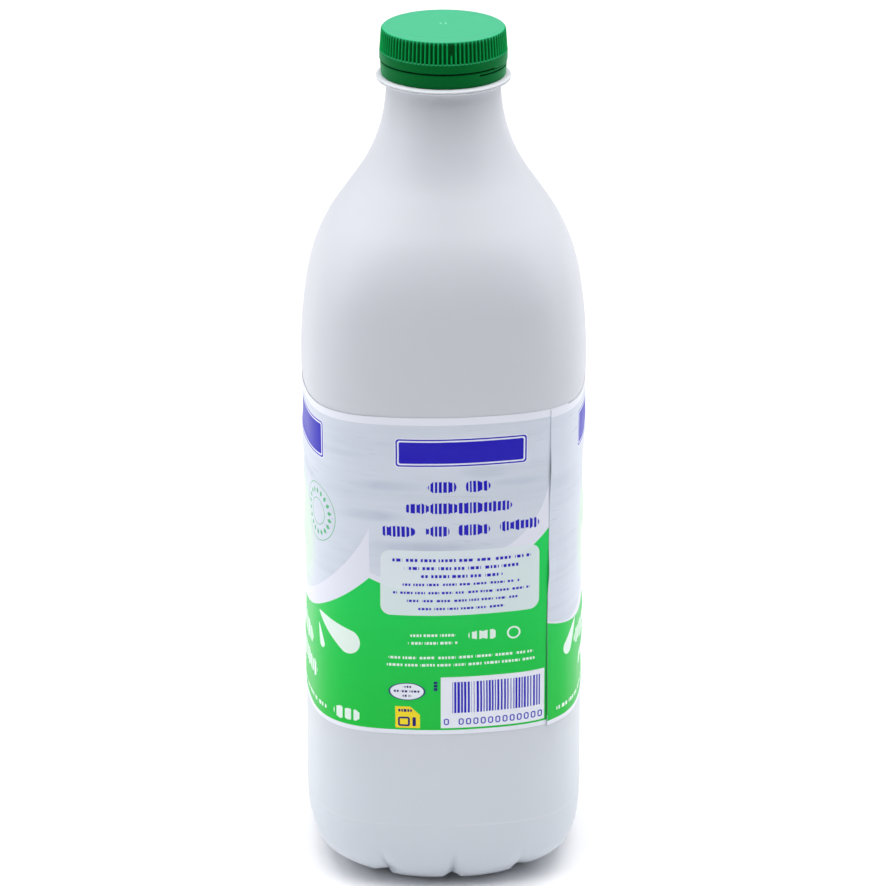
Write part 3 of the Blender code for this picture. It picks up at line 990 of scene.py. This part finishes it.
def farPrint(finish, colour, spot, along, up):
    # the side away from the front: a table of plain rows, and fine rows below it
    table = finish.plate(spot, (0.0, 66.0), (30.0, 34.0), 3.3)
    colour = finish.paint(finish.within(table) * 0.86, colour, "swoosh")
    pitch = 4.2
    row = (up - 34.5) * (1.0 / pitch)
    fromMiddle = abs(row.maths("FRACT") - 0.5) * pitch
    rule = 1.0 - finish.within(fromMiddle - 2.02)
    inside = finish.within(finish.plate(spot, (0.0, 62.0), (27.5, 27.2), 0.2))
    cells = finish.within(fromMiddle - 0.45)
    cells = cells * finish.gaps(along, row.maths("FLOOR") * 3.7, 7.5, 2.4)
    heading = finish.bar(spot, -20.0, 6.0, 94.0, 2.4) + finish.bar(spot, 8.5, 20.0, 94.0, 2.4)
    colour = finish.paint((rule * 0.5 + cells) * inside + heading, colour, "ink")
    halves = (27.0, 25.0, 27.0, 22.0, 26.0, 15.0)
    small = finish.lines(spot, along, up, 0.0, 26.0, 2.6, halves, 0.8, 5.0, 0.8)
    return finish.paint(small, colour, "onGreen")


def labelPrint():
    finish = Print("printed label", printed, **{"Specular IOR Level": 0.22})
    sheet = finish.add("ShaderNodeUVMap", {"uv_map": "UVMap"}, output="UV")
    share, rise, _ = finish.parts(sheet)
    up = rise * label["height"] + (label["bottom"] - printed["foot"])
    cut = share * label["length"]
    along = cut - (label["round"] - label["seamPlace"])
    side = label["round"] / 4.0
    frontEdge = printed["infoEdge"] - side - 9.0
    isInfo = along.above(printed["infoEdge"])
    isFront = along.between(frontEdge, printed["infoEdge"])
    isFar = along.between(frontEdge - side - 5.0, frontEdge)
    isOpposite = 1.0 - isInfo - isFront - isFar
    # Each side's marks are drawn from its own middle line, and both front sides share one drawing.
    fromFront = along - printed["frontMiddle"] + isOpposite * (2.0 * side + 11.0)
    fromInfo = along - printed["infoMiddle"]
    fromFar = along - printed["infoMiddle"] + 2.0 * side
    spot = finish.joined(along, up)
    colour = plankField(finish, spot, along, up)
    front = isFront + isOpposite
    frontGreen, infoGreen = wave(fromFront, printed["frontWave"]), wave(along, printed["infoWave"])
    limit = frontGreen + 0.6 + 0.28 * (fromFront + 30.0).maths("MAXIMUM", 0.0)
    frontPale = bowl(fromFront, -10.0, 38.05, 57.5).maths("MINIMUM", limit)
    limit = infoGreen + 2.0 + 0.6 * (along + 20.0).maths("MAXIMUM", 0.0)
    infoPale = bowl(along, 5.0, 61.35, 28.6).maths("MINIMUM", limit)
    green = infoGreen + front * (frontGreen - infoGreen)
    pale = infoPale + front * (frontPale - infoPale)
    colour = finish.paint(finish.within(up - pale), colour, "swoosh")
    field = finish.between((up * (1.0 / 62.0)).clamped(), "green")
    colour = finish.blend(finish.within(up - green), colour, field)
    spotInfo = finish.joined(fromInfo, up)
    info = infoPrint(finish, colour, spotInfo, fromInfo, up)
    info = stampPrint(finish, info, spotInfo, fromInfo, up)
    frontSide = frontPrint(finish, colour, finish.joined(fromFront, up), fromFront, up)
    farSide = farPrint(finish, colour, finish.joined(fromFar, up), fromFar, up)
    colour = finish.blend(isInfo, colour, info)
    colour = finish.blend(front, colour, frontSide)
    colour = finish.blend(isFar, colour, farSide)
    top = label["bottom"] + label["height"] - printed["foot"]
    bare = finish.within(up - printed["bottomBand"]) + finish.within(top - printed["topBand"] - up)
    colour = finish.paint(bare.clamped(), colour, "paper")
    # The cut edge is pale, and painted dark at the heights where it stands off, a painted shadow of
    # the lifted edge.
    edge = finish.within(cut - 0.25)
    colour = finish.paint(edge * 0.6, colour, "fold")
    gap = ((47.0 - up) * 0.3).clamped() * up.above(4.0) + (1.0 - abs(up - 89.0) * 0.12).clamped()
    finish.surface("Base Color", finish.paint(edge * gap * 0.75, colour, "gap"))
    fine = finish.grain(spot, 1.6, 2.0)
    finish.surface("Roughness", 0.36 + 0.08 * fine)
    finish.bump(fine, 0.008)
    return finish


print("bottle: modelling")
bottlePiece = makeBottle()
finishPiece(bottlePiece, "bottle", bottlePlastic())
print("cap: modelling")
capPiece = makeCap()
finishPiece(capPiece, "cap", capPlastic())
print("label: wrapping")
labelPiece = makeLabel()
finishPiece(labelPiece, "label", labelPrint())


studio = {
    "floorSize": 6.0,         # metres, as all of this dictionary's sizes
    "floorTone": (250, 250, 252),
    "targetHeight": 0.14066,
    "targetShift": -0.00014,
    "distance": 1.1641,
    "elevation": 22.076,
    "turn": 1.585,            # the camera stands this far round towards -X, in degrees
    "lens": 146.31,
    "lightAim": (0.0, 0.0, 0.14),
    # softboxes: place, size and power
    "lights": {
        "leftSoftbox": ((-1.1, -0.1, 0.6), (1.0, 1.4), 5.4),
        "rightSoftbox": ((1.1, -0.1, 0.6), (1.0, 1.4), 4.85),
        "leftBackSoftbox": ((-0.9, 0.8, 0.6), (1.0, 1.4), 2.7),
        "rightBackSoftbox": ((0.9, 0.8, 0.6), (1.0, 1.4), 3.1),
        "leftFill": ((-0.9, -0.9, 0.6), (0.8, 1.2), 1.0),
        "topSoftbox": ((0.0, 0.0, 1.3), (1.6, 1.6), 28.0),
    },
    "floorLight": ((0.0, 1.7, 0.35), (4.0, 1.4), 14.0),  # shines straight down behind the bottle
    "airTone": (246, 248, 255),
    "airStrength": 0.02,
}


def makeFloor():
    bpy.ops.object.select_all(action="DESELECT")
    bpy.ops.mesh.primitive_plane_add(size=studio["floorSize"], location=(0.0, 0.0, 0.0))
    floor = bpy.context.object
    floor.name = "floor"
    finish = Finish("pale floor", studio, **{"Roughness": 0.9, "Specular IOR Level": 0.1})
    finish.surface("Base Color", tone(*studio["floorTone"]))
    floor.data.materials.append(finish.material)


def makeLight(name, target, place, size, power):
    bpy.ops.object.light_add(type="AREA", location=place)
    light = bpy.context.object
    light.name = name
    light.data.shape = "RECTANGLE"
    light.data.size, light.data.size_y = size
    light.data.energy = power
    light.rotation_mode = "QUATERNION"
    light.rotation_quaternion = (Vector(place) - Vector(target)).to_track_quat("Z", "Y")


def makeCamera():
    turn, rise = math.radians(studio["turn"]), math.radians(studio["elevation"])
    level = Vector((-math.sin(turn), -math.cos(turn), 0.0))
    back = level * math.cos(rise) + Vector((0.0, 0.0, math.sin(rise)))
    right = Vector((math.cos(turn), -math.sin(turn), 0.0))
    target = Vector((0.0, 0.0, studio["targetHeight"])) + right * studio["targetShift"]
    bpy.ops.object.camera_add(location=target + back * studio["distance"])
    camera = bpy.context.object
    camera.rotation_mode = "QUATERNION"
    camera.rotation_quaternion = back.to_track_quat("Z", "Y")
    camera.data.lens = studio["lens"]
    camera.data.sensor_width = 36.0
    camera.data.clip_start = 0.05
    camera.data.clip_end = 50.0
    bpy.context.scene.camera = camera


print("studio: floor, lights and camera")
makeFloor()
for lightName, (place, size, power) in studio["lights"].items():
    makeLight(lightName, studio["lightAim"], place, size, power)
place, size, power = studio["floorLight"]
makeLight("floorSoftbox", (place[0], place[1], 0.0), place, size, power)
world = bpy.data.worlds.new("studio air")
bpy.context.scene.world = world
world.use_nodes = True
background = world.node_tree.nodes["Background"]
background.inputs["Color"].default_value = tone(*studio["airTone"])
background.inputs["Strength"].default_value = studio["airStrength"]
bpy.context.scene.view_settings.view_transform = "Standard"
makeCamera()
